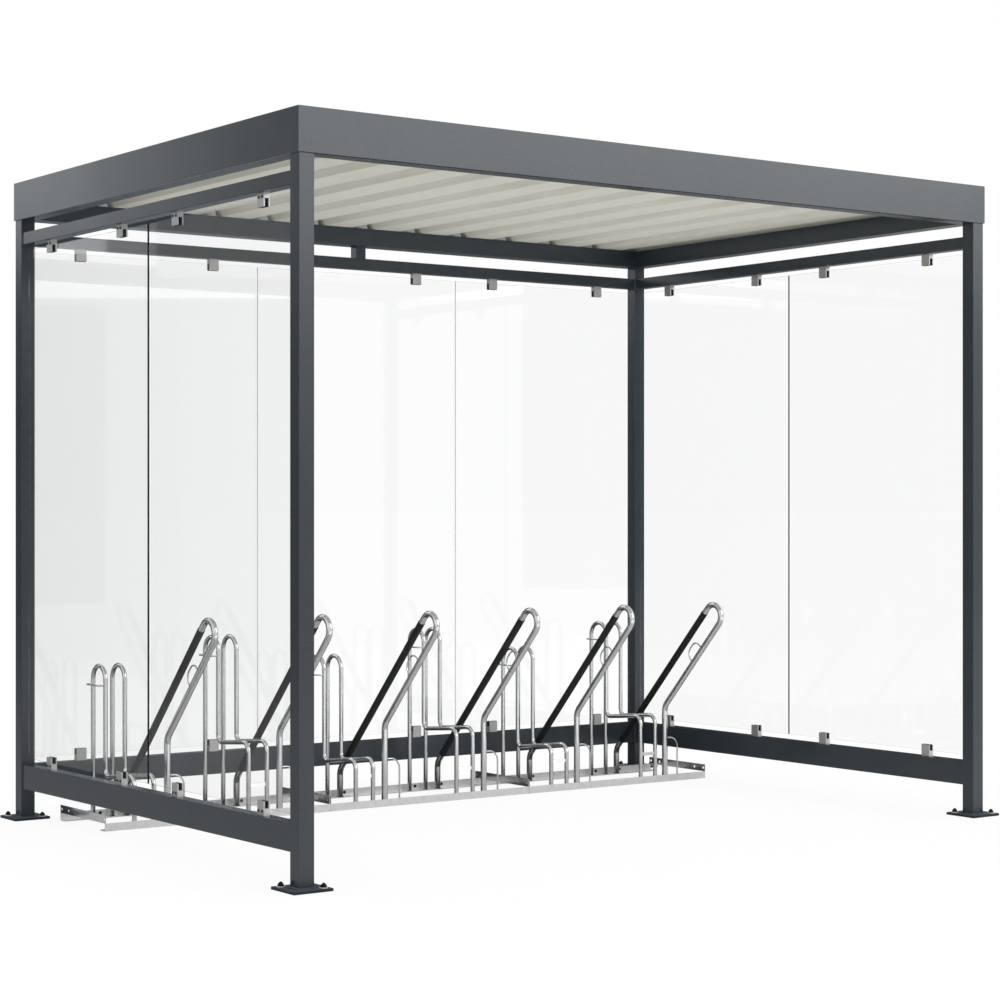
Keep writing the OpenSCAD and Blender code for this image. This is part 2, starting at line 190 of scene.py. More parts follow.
def fasciaCoat(name, coat):
    # the folded sheet is coated light grey on the side that faces the roof
    finish, tree, shader, coords = powderCoat(name, coat)
    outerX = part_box("fascia_right")[1].x
    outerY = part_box("fascia_back")[1].y
    skin = 2 * mm
    parts = addNode(tree, "SeparateXYZ", {0: coords}).outputs
    insideX = mathNode(tree, "LESS_THAN", mathNode(tree, "ABSOLUTE", parts["X"]), outerX - skin)
    insideY = mathNode(tree, "LESS_THAN", mathNode(tree, "ABSOLUTE", parts["Y"]), outerY - skin)
    below = mathNode(tree, "LESS_THAN", parts["Z"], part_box("fascia_front")[1].z - skin)
    inside = mathNode(tree, "MULTIPLY", mathNode(tree, "MULTIPLY", insideX, insideY), below)
    painted = shader.inputs["Base Color"].links[0].from_socket
    tree.links.new(mixColour(tree, inside, painted, coat["backCoat"]), shader.inputs["Base Color"])
    return finish


# Coil coating of the roof sheet: pale, with faint lines along the rolling direction
sheetLook = {
    "colour": (0.75, 0.74, 0.665),
    "shade": (0.66, 0.65, 0.58),
    "line": 14 * mm,
    "drawn": (1, 0.03, 1),   # draws the lines out along Y
    "stain": 0.3,            # m
    "stainRun": (0.35, 0.7),
    "gloss": (0.42, 0.55),
    "specular": 0.3,
    "bump": (0.1 * mm, 0.2),
}


def coilCoat(name, look):
    finish, tree, shader, coords = newFinish(name)
    lines = noise(tree, coords, look["line"], 2, look["drawn"])
    stains = noise(tree, coords, look["stain"], 4)
    lined = spread(tree, lines, *noiseRange, 0.3, 1)
    both = mathNode(tree, "MULTIPLY", lined, spread(tree, stains, *look["stainRun"], 0, 1))
    tree.links.new(mixColour(tree, both, look["colour"], look["shade"]), shader.inputs["Base Color"])
    tree.links.new(spread(tree, stains, *noiseRange, *look["gloss"]), shader.inputs["Roughness"])
    shader.inputs["Specular IOR Level"].default_value = look["specular"]
    tree.links.new(bump(tree, lines, *look["bump"]), shader.inputs["Normal"])
    return finish


# Clear glass: what lies behind shows through a faint tint. Its share of gloss is the straight one,
# and grows to 1 with the fifth power of one less the cosine
glassLook = {"tint": (0.991, 0.993, 0.993), "straight": 0.03, "gloss": (0.01, 0.03), "smear": 0.22}


def clearGlass(name, look):
    finish, tree, shader, coords = newFinish(name)
    tree.nodes.remove(shader)
    facing = addNode(tree, "LayerWeight", {"Blend": 0.5}).outputs["Facing"]
    grazing = mathNode(tree, "POWER", facing, 5.0)
    share = spread(tree, grazing, 0, 1, look["straight"], 1)
    through = addNode(tree, "BsdfTransparent", {"Color": rgba(look["tint"])}).outputs[0]
    film = spread(tree, noise(tree, coords, look["smear"]), *noiseRange, *look["gloss"])
    gloss = addNode(tree, "BsdfGlossy", {"Roughness": film}).outputs[0]
    mix = addNode(tree, "MixShader", {0: share, 1: through, 2: gloss}).outputs[0]
    tree.links.new(mix, tree.nodes["Material Output"].inputs["Surface"])
    return finish


# Ground edge of a pane, with fine grinding lines; its colour is painted shade, near black, on the side
# walls and a painted reflection of the pale studio at the back
paintedShadeEdgeLook = {"colour": (0.003, 0.004, 0.004), "gloss": (0.45, 0.6), "specular": 0.08,
                "line": 3 * mm, "drawn": (1, 1, 0.2), "drift": 0.2}
paintedReflectionEdgeLook = {**paintedShadeEdgeLook, "colour": (0.80, 0.84, 0.83), "gloss": (0.18, 0.32), "specular": 0.5}


def groundEdge(name, look):
    finish, tree, shader, coords = newFinish(name)
    lines = noise(tree, coords, look["line"], stretch=look["drawn"])
    shades = [[c * k for c in look["colour"]] for k in (1 - look["drift"], 1 + look["drift"])]
    tree.links.new(mixColour(tree, lines, *shades), shader.inputs["Base Color"])
    tree.links.new(spread(tree, lines, *noiseRange, *look["gloss"]), shader.inputs["Roughness"])
    shader.inputs["Specular IOR Level"].default_value = look["specular"]
    return finish


# Metals: cells of spangle or brushed lines that shift colour and gloss
steelLook = {"colour": (0.57, 0.57, 0.565), "dark": 0.86, "gloss": (0.40, 0.52), "line": 1.2 * mm,
             "drawn": (1, 1, 0.04), "bump": (0.03 * mm, 0.3)}
zincLook = {"colour": (0.72, 0.73, 0.73), "shade": (0.62, 0.63, 0.635), "gloss": (0.12, 0.20),
            "cell": 9 * mm, "run": 50 * mm, "bump": (0.3 * mm, 0.12), "metal": 1}
railLook = {**zincLook, "colour": (0.90, 0.905, 0.90), "shade": (0.77, 0.78, 0.78),
            "gloss": (0.34, 0.46), "cell": 13 * mm, "metal": 0.4}


def brushedSteel(name, look):
    finish, tree, shader, coords = newFinish(name)
    lines = noise(tree, coords, look["line"], stretch=look["drawn"])
    darker = [c * look["dark"] for c in look["colour"]]
    tree.links.new(mixColour(tree, lines, darker, look["colour"]), shader.inputs["Base Color"])
    shader.inputs["Metallic"].default_value = 1
    tree.links.new(spread(tree, lines, *noiseRange, *look["gloss"]), shader.inputs["Roughness"])
    tree.links.new(bump(tree, lines, *look["bump"]), shader.inputs["Normal"])
    return finish


def galvanised(name, look):
    finish, tree, shader, coords = newFinish(name)
    cells = addNode(tree, "TexVoronoi", {"Vector": coords, "Scale": 1 / look["cell"]}).outputs["Color"]
    cell = addNode(tree, "SeparateColor", {0: cells}).outputs[0]
    runs = noise(tree, coords, look["run"], 4)
    tone = mathNode(tree, "MULTIPLY", cell, spread(tree, runs, *noiseRange, 0.5, 1))
    tree.links.new(mixColour(tree, tone, look["colour"], look["shade"]), shader.inputs["Base Color"])
    shader.inputs["Metallic"].default_value = look["metal"]
    tree.links.new(spread(tree, tone, 0, 1, *look["gloss"]), shader.inputs["Roughness"])
    tree.links.new(bump(tree, runs, *look["bump"]), shader.inputs["Normal"])
    return finish


# Black goods: sleeves, linings, blackened bolts and screws, and the black beads at the feet of the rack's
# bars and tubes
sleeveLook = {"colour": (0.007, 0.0075, 0.008), "grain": 1.5 * mm, "gloss": (0.5, 0.65), "specular": 0.22,
              "metal": 0, "paler": 1.8, "bump": (0.1 * mm, 0.3)}
liningLook = {**sleeveLook, "colour": (0.008, 0.008, 0.009), "grain": 1 * mm, "gloss": (0.6, 0.8),
              "specular": 0.2}
boltLook = {**liningLook, "colour": (0.006, 0.006, 0.007), "grain": 0.8 * mm, "gloss": (0.45, 0.55)}
screwLook = {**boltLook, "colour": (0.035, 0.035, 0.034), "specular": 0.4}
footBeadLook = {**sleeveLook, "colour": (0.020, 0.020, 0.020), "grain": 1.2 * mm, "gloss": (0.4, 0.6),
             "specular": 0.5, "metal": 0.3}


def blackFinish(name, look):
    finish, tree, shader, coords = newFinish(name)
    grain = noise(tree, coords, look["grain"])
    paler = [look["paler"] * c for c in look["colour"]]
    tree.links.new(mixColour(tree, grain, look["colour"], paler), shader.inputs["Base Color"])
    shader.inputs["Metallic"].default_value = look["metal"]
    shader.inputs["Specular IOR Level"].default_value = look["specular"]
    tree.links.new(spread(tree, grain, *noiseRange, *look["gloss"]), shader.inputs["Roughness"])
    tree.links.new(bump(tree, grain, *look["bump"]), shader.inputs["Normal"])
    return finish


framePaint = powderCoat("framePaint", coat)[0]
platePaint = dustAndShadeCoat("platePaint", plateCoat, dustAndShade)
fasciaPaint = fasciaCoat("fasciaPaint", coat)
sheetCoating = coilCoat("sheetCoating", sheetLook)
wallGlass = clearGlass("wallGlass", glassLook)
paintedShadeEdge = groundEdge("paintedShadeEdge", paintedShadeEdgeLook)
paintedReflectionEdge = groundEdge("paintedReflectionEdge", paintedReflectionEdgeLook)
clampSteel = brushedSteel("clampSteel", steelLook)
tubeZinc = galvanised("tubeZinc", zincLook)
railZinc = galvanised("railZinc", railLook)
sleeveRubber = blackFinish("sleeveRubber", sleeveLook)
liningRubber = blackFinish("liningRubber", liningLook)
boltBlack = blackFinish("boltBlack", boltLook)
screwGrey = blackFinish("screwGrey", screwLook)
footBeadBlack = blackFinish("footBeadBlack", footBeadLook)

# Finish of each carried-over node, by the start of its name
finishes = {
    "post_": framePaint, "base_plate_": platePaint, "lower_rail_": framePaint,
    "upper_rail_": framePaint, "back_strut": framePaint, "roof_beam_": framePaint,
    "fascia_": fasciaPaint, "roof_sheet": sheetCoating, "glass_clamps_": clampSteel,
    "glass_": wallGlass, "rack_rails_": railZinc, "rack_cross_bars": tubeZinc,
    "wheel_holder_": tubeZinc, "locking_loops_": tubeZinc, "lean_frames_": tubeZinc,
    "lean_sleeves": sleeveRubber,
}
for name, piece in nodes.items():
    finish = next(finish for start, finish in finishes.items() if name.startswith(start))
    piece.data.materials.clear()
    piece.data.materials.append(finish)
print("finishes made:", len(bpy.data.materials))


# Quads of a grid of rows x cols points; a closed way joins its last line to its first
def gridQuads(rows, cols, closeRows=False, closeCols=False):
    i, j = np.meshgrid(np.arange(rows if closeRows else rows - 1),
                       np.arange(cols if closeCols else cols - 1), indexing="ij")
    down = (i + 1) % rows
    across = (j + 1) % cols
    corners = [i * cols + j, i * cols + across, down * cols + across, down * cols + j]
    return np.stack(corners, -1).reshape(-1, 4)


# Stacked closed rings, rows x cols x 3, as a solid: quads between the rings and a lid on each end
def ringSolid(rings):
    rows, cols = rings.shape[:2]
    ends = np.stack([np.arange(cols)[::-1], (rows - 1) * cols + np.arange(cols)])
    return rings.reshape(-1, 3), [gridQuads(rows, cols, closeCols=True), ends]


# The same solid at each place, as one mesh
def repeated(points, faces, places):
    places = np.asarray(places, float).reshape(-1, 3)
    shift = (np.arange(len(places)) * len(points))[:, None, None]
    moved = (points[None] + places[:, None]).reshape(-1, 3)
    return moved, [(block[None] + shift).reshape(-1, block.shape[1]) for block in faces]


# Several meshes as one
def joined(parts):
    starts = np.cumsum([0] + [len(points) for points, _ in parts])
    points = np.concatenate([points for points, _ in parts])
    return points, [block + start for (_, faces), start in zip(parts, starts) for block in faces]


# Turns local x, y, z to the three given world directions
def turned(points, directions):
    return points @ np.asarray(directions, float)


def addPiece(name, points, faces, materials, slot, sharpAngle=38, faceFinish=None):
    mesh = bpy.data.meshes.new(name)
    mesh.from_pydata(points.tolist(), [], [face for block in faces for face in block.tolist()])
    mesh.polygons.foreach_set("use_smooth", np.ones(len(mesh.polygons), bool))
    mesh.set_sharp_from_angle(angle=math.radians(sharpAngle))
    for material in materials:
        mesh.materials.append(material)
    if faceFinish is not None:
        mesh.polygons.foreach_set("material_index", np.asarray(faceFinish, np.int32))
    mesh.update()
    piece = bpy.data.objects.new(name, mesh)
    scene.collection.objects.link(piece)
    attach(piece, "root")
    return piece


# Closed outline of a rectangle with round corners, counter-clockwise, with its outward normals:
# each corner is its centre plus the radius along the turning normal
def roundedLoop(width, height, radius, steps=5):
    angle = (np.arange(4)[:, None] * 90 + np.linspace(0, 90, steps)[None]).ravel() * math.pi / 180
    normal = np.stack([np.cos(angle), np.sin(angle)], -1)
    signs = np.repeat([[1, 1], [-1, 1], [-1, -1], [1, -1]], steps, 0)
    return signs * (np.array([width, height]) / 2 - radius) + radius * normal, normal


def circleLoop(radius, steps=24):
    angle = np.arange(steps) * fullTurn / steps
    normal = np.stack([np.cos(angle), np.sin(angle)], -1)
    return radius * normal, normal


# Solid of rings round the z axis: each profile row is a radius and a height
def turnedSolid(profile, steps=24):
    loop = circleLoop(1, steps)[0]
    profile = np.asarray(profile, float)
    rings = np.zeros((len(profile), steps, 3))
    rings[..., :2] = profile[:, None, :1] * loop[None]
    rings[..., 2] = profile[:, None, 1]
    return ringSolid(rings)


# Hexagon head: the hexagon's own radius at each angle, cut back by a cone near the top
def hexHead(across, height, start=0.0, steps=48):
    angle = np.arange(steps) * fullTurn / steps
    sixth = fullTurn / 6
    hexagon = across / 2 / np.cos((angle + sixth / 2) % sixth - sixth / 2)
    share = np.array([0, 0.62, 0.72, 0.84, 0.94, 1.0])
    cone = across * np.array([0.6, 0.6, 0.575, 0.54, 0.50, 0.45])
    radius = np.minimum(hexagon[None], cone[:, None])
    rings = np.zeros((len(share), steps, 3))
    rings[..., 0] = radius * np.cos(angle)
    rings[..., 1] = radius * np.sin(angle)
    rings[..., 2] = start + share[:, None] * height
    return ringSolid(rings)


# Weld bead in the corner where an outline stands on a plane: a rounded three-sided section
# carried round the outline, with a light ripple along it
def weldBead(loop, normal, leg, ripple=7 * mm, sink=0.4 * mm, swell=0.10):
    section = np.array([[-sink, -sink], [leg, -sink], [0.80 * leg, 0.34 * leg], [0.48 * leg, 0.62 * leg],
                        [0.24 * leg, 0.88 * leg], [-sink, 1.05 * leg]])
    along = np.concatenate([[0], np.cumsum(np.linalg.norm(np.diff(loop, axis=0), axis=1))])
    wave = 1 + swell * np.sin(along * fullTurn / ripple)
    rings = np.zeros((len(loop), len(section), 3))
    rings[..., :2] = loop[:, None] + normal[:, None] * (section[None, :, :1] * wave[:, None, None])
    rings[..., 2] = section[None, :, 1] * wave[:, None]
    return rings.reshape(-1, 3), [gridQuads(*rings.shape[:2], closeRows=True, closeCols=True)]


# Points added along an outline so that the ripple of a bead shows
def denser(loop, normal, step):
    length = np.linalg.norm(np.roll(loop, -1, 0) - loop, axis=1)
    at = np.concatenate([[0], np.cumsum(length)])
    count = int(at[-1] / step)
    where = np.arange(count) * at[-1] / count
    wrap = lambda v: np.concatenate([v, v[:1]])
    fine = [np.stack([np.interp(where, at, wrap(v)[:, k]) for k in (0, 1)], -1) for v in (loop, normal)]
    return fine[0], fine[1] / np.linalg.norm(fine[1], axis=1, keepdims=True)


# Anchor bolts: two to a base plate, on one diagonal, each a domed nut with a flange over a washer
anchor = {
    "reach": 53.0 * mm,      # of each bolt from the post's middle, along X and Y
    "across": 18 * mm,
    "head": 7 * mm,
    "dome": 6.5 * mm,
    "domeHeight": 6 * mm,
    "flange": 12 * mm,       # radius
    "flangeHeight": 3 * mm,
    "washer": 15.5 * mm,     # radius
    "washerHeight": 2.6 * mm,
}
postNames = ["front_left", "front_right", "back_left", "back_right"]


def middleOf(node):
    low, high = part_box(node)
    return (np.array(low) + np.array(high)) / 2


def addAnchors(anchor):
    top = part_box("base_plate_front_left")[1].z
    feet = np.array([middleOf("post_" + name)[:2] for name in postNames])
    diagonal = anchor["reach"] * np.array([[1, -1], [-1, 1]])
    at = (feet[:, None] + diagonal[None]).reshape(-1, 2)
    places = np.column_stack([at, np.full(len(at), top)])
    r, h = anchor["washer"], anchor["washerHeight"]
    washer = turnedSolid([(r, 0), (r, 0.75 * h), (0.96 * r, h)], 32)
    points, faces = repeated(*washer, places)
    addPiece("anchor_washers", points, faces, [railZinc], "rack_zinc")
    f, t = anchor["flange"], anchor["flangeHeight"]
    flange = turnedSolid([(f, 0), (f, 0.35 * t), (0.93 * f, 0.6 * t), (0.8 * f, t)], 32)
    head = hexHead(anchor["across"], anchor["head"], 0.9 * t)
    turn = np.linspace(0.02, 0.98, 7) * fullTurn / 4
    base = 0.85 * t + anchor["head"]
    heights = base + anchor["domeHeight"] * np.sin(turn)
    dome = turnedSolid(np.column_stack([anchor["dome"] * np.cos(turn), heights]))
    points, faces = repeated(*joined([flange, head, dome]), places + [0, 0, h])
    addPiece("anchor_bolts", points, faces, [boltBlack], "frame_paint")


addAnchors(anchor)
print("anchors made")

# Weld beads of the frame: round each post on its plate, and round each rail end on its post
weld = {"foot": 3 * mm, "rail": 2.5 * mm, "step": 1.75 * mm, "corner": 1.5 * mm}


def addFrameWelds(weld):
    low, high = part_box("post_front_left")
    side = high.x - low.x
    loop, normal = denser(*roundedLoop(side, side, weld["corner"]), weld["step"])
    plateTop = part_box("base_plate_front_left")[1].z
    feet = [(*middleOf("post_" + name)[:2], plateTop) for name in postNames]
    points, faces = repeated(*weldBead(loop, normal, weld["foot"]), feet)
    addPiece("foot_welds", points, faces, [framePaint], "frame_paint")
    parts = []
    for rail in ("lower_rail_", "upper_rail_"):
        for wall in ("left", "right", "back"):
            low, high = (np.array(corner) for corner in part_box(rail + wall))
            size = high - low
            long = 0 if wall == "back" else 1
            loop, normal = denser(*roundedLoop(size[1 - long], size[2], weld["corner"]), weld["step"] * 2)
            bead = weldBead(loop, normal, weld["rail"])
            for end, sign in ((low, 1), (high, -1)):
                at = (low + high) / 2
                at[long] = end[long]
                out = np.zeros(3)
                out[long] = sign
                up = np.array([0, 0, 1.0])
                points, faces = bead
                parts.append((turned(points, [np.cross(up, out), up, out]) + at, faces))
    addPiece("rail_welds", *joined(parts), [framePaint], "frame_paint")


addFrameWelds(weld)
print("frame welds made")

# Glass panes: a plate with chamfered edges. Sides of its outline run top, near or left, bottom, far
# or right, and each is clear (0) or ground (1); a ground side is painted shade on the side walls and a
# painted reflection at the back
pane = {"chamfer": 1.2 * mm, "ground": (0, 1, 0, 0)}
wallPanes = {"left": ("left_front", "left_back"), "right": ("right_front", "right_back"),
             "back": ("back_left", "back_middle", "back_right")}


# Plate of four rectangles stacked through its thickness, the outer two drawn in by the chamfer
def chamferedPlate(width, height, thick, chamfer):
    signs = np.array([[1, 1], [-1, 1], [-1, -1], [1, -1]])
    inset = np.array([chamfer, 0, 0, chamfer])
    level = thick / 2 * np.array([-1, -1, 1, 1]) + np.array([0, chamfer, -chamfer, 0])
    rings = np.zeros((4, 4, 3))
    rings[..., :2] = signs[None] * (np.array([width, height]) / 2 - inset[:, None])[:, None]
    rings[..., 2] = level[:, None]
    return ringSolid(rings)


def addPanes(pane):
    up = np.array([0, 0, 1.0])
    for wall, names in wallPanes.items():
        across = np.array([1.0, 0, 0]) if wall == "back" else np.array([0, 1.0, 0])
        # painted shade on the side walls' ground edges, a painted reflection on the back wall's
        edge = paintedReflectionEdge if wall == "back" else paintedShadeEdge
        for name in names:
            low, high = (np.array(corner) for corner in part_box("glass_" + name))
            size = high - low
            points, faces = chamferedPlate(size @ across, size[2], min(size), pane["chamfer"])
            points = turned(points, [across, up, np.cross(across, up)]) + (low + high) / 2
            finish = np.concatenate([np.tile(pane["ground"], 3), np.zeros(len(faces[1]))])
            piece = addPiece("pane_" + name, points, faces, [wallGlass, edge], "wall_glass",
                             sharpAngle=20, faceFinish=finish)
            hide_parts("glass_" + name)


addPanes(pane)
print("panes made")

# Clamps: dark linings beside the glass and two button screws on each clamp's outer face
clamp = {
    "reach": 318 * mm,      # from the pane's middle along the wall
    "width": 45 * mm,
    "height": 50 * mm,
    "thick": 25 * mm,
    "slot": 12 * mm,
    "proud": 0.6 * mm,      # of the linings at the clamp's ends
    "lip": 1.2 * mm,        # of the linings over the cheeks there
    "lipSink": 0.3 * mm,    # of those lips into the cheeks
    "soft": (0.5 * mm, 0.3 * mm),     # corner radius and bevel of the linings
    "lipSoft": (0.5 * mm, 0.2 * mm),  # and of the lips
    "screwStep": 12 * mm,   # of each screw from the clamp's middle
    "screwIn": 15 * mm,     # of the screws from the rail
    "screw": 5.5 * mm,      # radius
}


# Block with rounded long edges, along x, from the rounded outline drawn in at both ends
def softBlock(length, width, height, radius, bevel):
    rings = []
    end = length / 2
    for x, inset in ((-end, bevel), (bevel - end, 0), (end - bevel, 0), (end, bevel)):
        loop = roundedLoop(width - 2 * inset, height - 2 * inset, radius)[0]
        rings.append(np.column_stack([np.full(len(loop), x), loop]))
    return ringSolid(np.stack(rings))


def clampPlaces(wall, clamp):
    # middle of each clamp's rail side: place, and the way up into the pane
    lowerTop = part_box("lower_rail_" + wall)[1].z
    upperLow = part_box("upper_rail_" + wall)[0].z
    along = 0 if wall == "back" else 1
    places = []
    for name in wallPanes[wall]:
        middle = middleOf("glass_" + name)
        for side in (-1, 1):
            for level, way in ((lowerTop, 1), (upperLow, -1)):
                at = middle.copy()
                at[along] += side * clamp["reach"]
                at[2] = level
                places.append((at, way))
    return places


def addClampTrim(clamp):
    up = np.array([0, 0, 1.0])
    strips, screws = [], []
    lipSink = clamp["lipSink"]
    r = clamp["screw"]
    button = turnedSolid([(r, 0), (r, 0.18 * r), (0.90 * r, 0.42 * r), (0.68 * r, 0.6 * r),
                          (0.48 * r, 0.66 * r), (0.42 * r, 0.62 * r), (0.40 * r, 0.28 * r)], 18)
    for wall in wallPanes:
        along = np.array([1.0, 0, 0]) if wall == "back" else np.array([0, 1.0, 0])
        out = np.array({"left": (-1.0, 0, 0), "right": (1.0, 0, 0), "back": (0, 1.0, 0)}[wall])
        glassLow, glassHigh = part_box("glass_" + wallPanes[wall][0])
        paneThick = abs((np.array(glassHigh) - np.array(glassLow)) @ out)
        thick = (clamp["slot"] - paneThick) / 2
        for at, way in clampPlaces(wall, clamp):
            edge = glassLow.z if way > 0 else glassHigh.z
            tip = at[2] + way * clamp["height"]
            deep = abs(tip - edge) + clamp["proud"]
            strip = softBlock(clamp["width"] + 2 * clamp["proud"], thick, deep, *clamp["soft"])
            lip = softBlock(clamp["proud"] + lipSink, thick + clamp["lip"], deep + clamp["lip"],
                            *clamp["lipSoft"])
            for side in (-1, 1):
                centre = at + side * out * (paneThick + thick) / 2
                centre[2] = edge + way * deep / 2
                lengthwise = [along, np.cross(up, along), up]
                strips.append((turned(strip[0], lengthwise) + centre, strip[1]))
                for end in (-1, 1):
                    lipAt = centre + side * out * clamp["lip"] / 2
                    lipAt = lipAt + end * along * (clamp["width"] + clamp["proud"] - lipSink) / 2
                    strips.append((turned(lip[0], lengthwise) + lipAt, lip[1]))
            for side in (-1, 1):
                head = at + out * clamp["thick"] / 2 + along * side * clamp["screwStep"]
                head[2] = at[2] + way * clamp["screwIn"]
                screws.append((turned(button[0], [np.cross(up, out), up, out]) + head, button[1]))
    addPiece("clamp_linings", *joined(strips), [liningRubber], "sleeve_rubber")
    addPiece("clamp_screws", *joined(screws), [screwGrey], "clamp_steel")


addClampTrim(clamp)
print("clamp trim made")

# Rack: weld beads at the feet of the bars and tubes and at both ends of each wire
rack = {
    "foot": 4 * mm,                 # top of the floor rail's flange
    "barRadius": 9.5 * mm,
    "tubeRadius": 13.45 * mm,
    "wireRadius": 3.5 * mm,
    "footBead": 3.2 * mm,
    "wireBead": 2.2 * mm,
    "sunk": 0.3 * mm,               # of the wires' beads into the bars
    "leanX": 107 * mm,              # lean frame from the middle of its holder
    "leanRear": 32 * mm,            # rear leg from the back of the rear rail
    "hoop": 77 * mm,                # reach of the locking hoop from its tube
    "hoopTop": 205 * mm,
    "bend": 356 * mm,               # height of the front leg's bend
    "slope": math.radians(46.2),
    "eye": (298 * mm, 392 * mm),    # ends of the locking eye along the slope
    "hairpin": 116 * mm,
    "loopDrop": 87.5 * mm,          # locking loop under the top of its holder
}


# Bead round a bar that meets a face: the ring turned so that its z runs along the bar, with eight
# ripples round it
def ringBead(place, axis, radius, leg):
    loop, normal = circleLoop(radius, 28)
    points, faces = weldBead(loop, normal, leg, fullTurn * radius / 8)
    axis = np.array(axis, float)
    side = np.array([0, axis[2], -axis[1]]) if abs(axis[0]) < 0.9 else np.array([0, 1.0, 0])
    return turned(points, [side, np.cross(axis, side), axis]) + np.array(place), faces


def addRackWelds(rack):
    up, right = (0, 0, 1), (1, 0, 0)
    bar, tube, wire = rack["barRadius"], rack["tubeRadius"], rack["wireRadius"]
    footBead, wireBead, sunk = rack["footBead"], rack["wireBead"], rack["sunk"]
    railLow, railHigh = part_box("rack_rails_left")
    leanFront = railLow.y + rack["foot"] + tube
    leanRear = railHigh.y - rack["leanRear"]
    along = np.array([0, -math.cos(rack["slope"]), math.sin(rack["slope"])])
    above = np.array([0, math.sin(rack["slope"]), math.cos(rack["slope"])])
    feet, ends = [], []
    for k in range(6):
        low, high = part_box(f"wheel_holder_{k + 1}")
        for x in (low.x + bar, high.x - bar):
            feet += [((x, y, rack["foot"]), up, bar, footBead) for y in (low.y + bar, high.y - bar)]
        loopZ = high.z - rack["loopDrop"]
        rearY = high.y - bar
        ends += [((low.x + sunk, y, loopZ), (-1, 0, 0), wire, wireBead)
                 for y in (rearY, rearY - rack["hairpin"])]
        leanX = (low.x + high.x) / 2 + rack["leanX"]
        feet += [((leanX, y, rack["foot"]), up, tube, footBead) for y in (leanFront, leanRear)]
        ends.append(((leanX + rack["hoop"], leanFront, rack["foot"]), up, wire, wireBead))
        ends.append(((leanX + tube - sunk, leanFront, rack["hoopTop"]), right, wire, wireBead))
        bend = np.array([leanX, leanFront, rack["bend"]])
        ends += [(bend + along * at + above * (tube - sunk), above, wire, wireBead) for at in rack["eye"]]
    # the beads at the feet are black, those at the wire ends zinc
    for name, spots, finish in (("foot_beads", feet, footBeadBlack), ("wire_beads", ends, tubeZinc)):
        beads = joined([ringBead(*spot) for spot in spots])
        addPiece(name, *beads, [finish], "rack_zinc", sharpAngle=60)


addRackWelds(rack)
print("rack welds made")

# Rail bolts: black heads on the inner face of the rear rail, one between the legs of each holder
# and one beside each lean frame
railBolt = {
    "rise": 19 * mm,
    "beside": 40 * mm,       # to the right of the lean frame
    "across": 10 * mm,
    "head": 5 * mm,
    "washer": 7 * mm,        # radius
    "washerHeight": 1.5 * mm,
}


def addRailBolts(look, rack):
    w, h = look["washer"], look["washerHeight"]
    washer = turnedSolid([(w, 0), (w, 0.7 * h), (0.95 * w, h)], 24)
    points, faces = joined([washer, hexHead(look["across"], look["head"], h, 24)])
    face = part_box("rack_rails_left")[1].y - rack["foot"]
    middles = np.array([middleOf(f"wheel_holder_{k + 1}")[0] for k in range(6)])
    x = np.concatenate([middles, middles + rack["leanX"] + look["beside"]])
    places = np.column_stack([x, np.full(len(x), face), np.full(len(x), look["rise"])])
    outward = turned(points, [(1, 0, 0), (0, 0, 1), (0, -1, 0)])
    addPiece("rail_bolts", *repeated(outward, faces, places), [boltBlack], "rack_zinc")


addRailBolts(railBolt, rack)
print("rail bolts made")

# Ties: a flat bar between the front legs of each wheel holder
tie = {"rise": 137 * mm, "height": 15 * mm, "thick": 5 * mm, "corner": 1.2 * mm, "bevel": 0.5 * mm,
       "sunk": 1.5 * mm}


def addTies(tie, rack):
    bar = rack["barRadius"]
    parts = []
    for k in range(6):
        low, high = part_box(f"wheel_holder_{k + 1}")
        length = high.x - low.x - 4 * bar + 2 * tie["sunk"]
        points, faces = softBlock(length, tie["thick"], tie["height"], tie["corner"], tie["bevel"])
        parts.append((points + np.array([(low.x + high.x) / 2, low.y + bar, tie["rise"]]), faces))
    addPiece("holder_ties", *joined(parts), [railZinc], "rack_zinc")


addTies(tie, rack)
print("ties made")

# Painted shadow line: a black bead under the seam between the front beam and its fascia, standing in for
# the shade in that gap
shadeBead = {"in": 1.5 * mm, "out": 1.5 * mm, "up": 0.4 * mm, "down": 2.0 * mm}


# A square section with its lower corners cut off, carried along the beam
def addShadeBead(shadeBead):
    low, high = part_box("roof_beam_front")
    section = np.array([[-shadeBead["in"], shadeBead["up"]], [-shadeBead["in"], -0.7 * shadeBead["down"]],
                        [-0.4 * shadeBead["in"], -shadeBead["down"]], [0.5 * shadeBead["out"], -shadeBead["down"]],
                        [shadeBead["out"], -0.7 * shadeBead["down"]], [shadeBead["out"], shadeBead["up"]]])
    rings = np.zeros((2, len(section), 3))
    rings[..., 0] = np.array([[high.x], [low.x]])
    rings[..., 1] = low.y - section[None, :, 0]
    rings[..., 2] = low.z + section[None, :, 1]
    # the black bead is painted shade, for the shadow in the gap under the fascia
    addPiece("painted_shade_bead", *ringSolid(rings), [liningRubber], "sleeve_rubber")


addShadeBead(shadeBead)
print("seal made")

# Roof screws: a washer and a hexagon head on each flat of the sheet, over the front and back beams
roofScrew = {"pitch": 263 * mm, "shift": -8 * mm, "flats": 12, "inset": 23 * mm, "sheet": 1 * mm,
             "washer": 8 * mm, "across": 8 * mm}


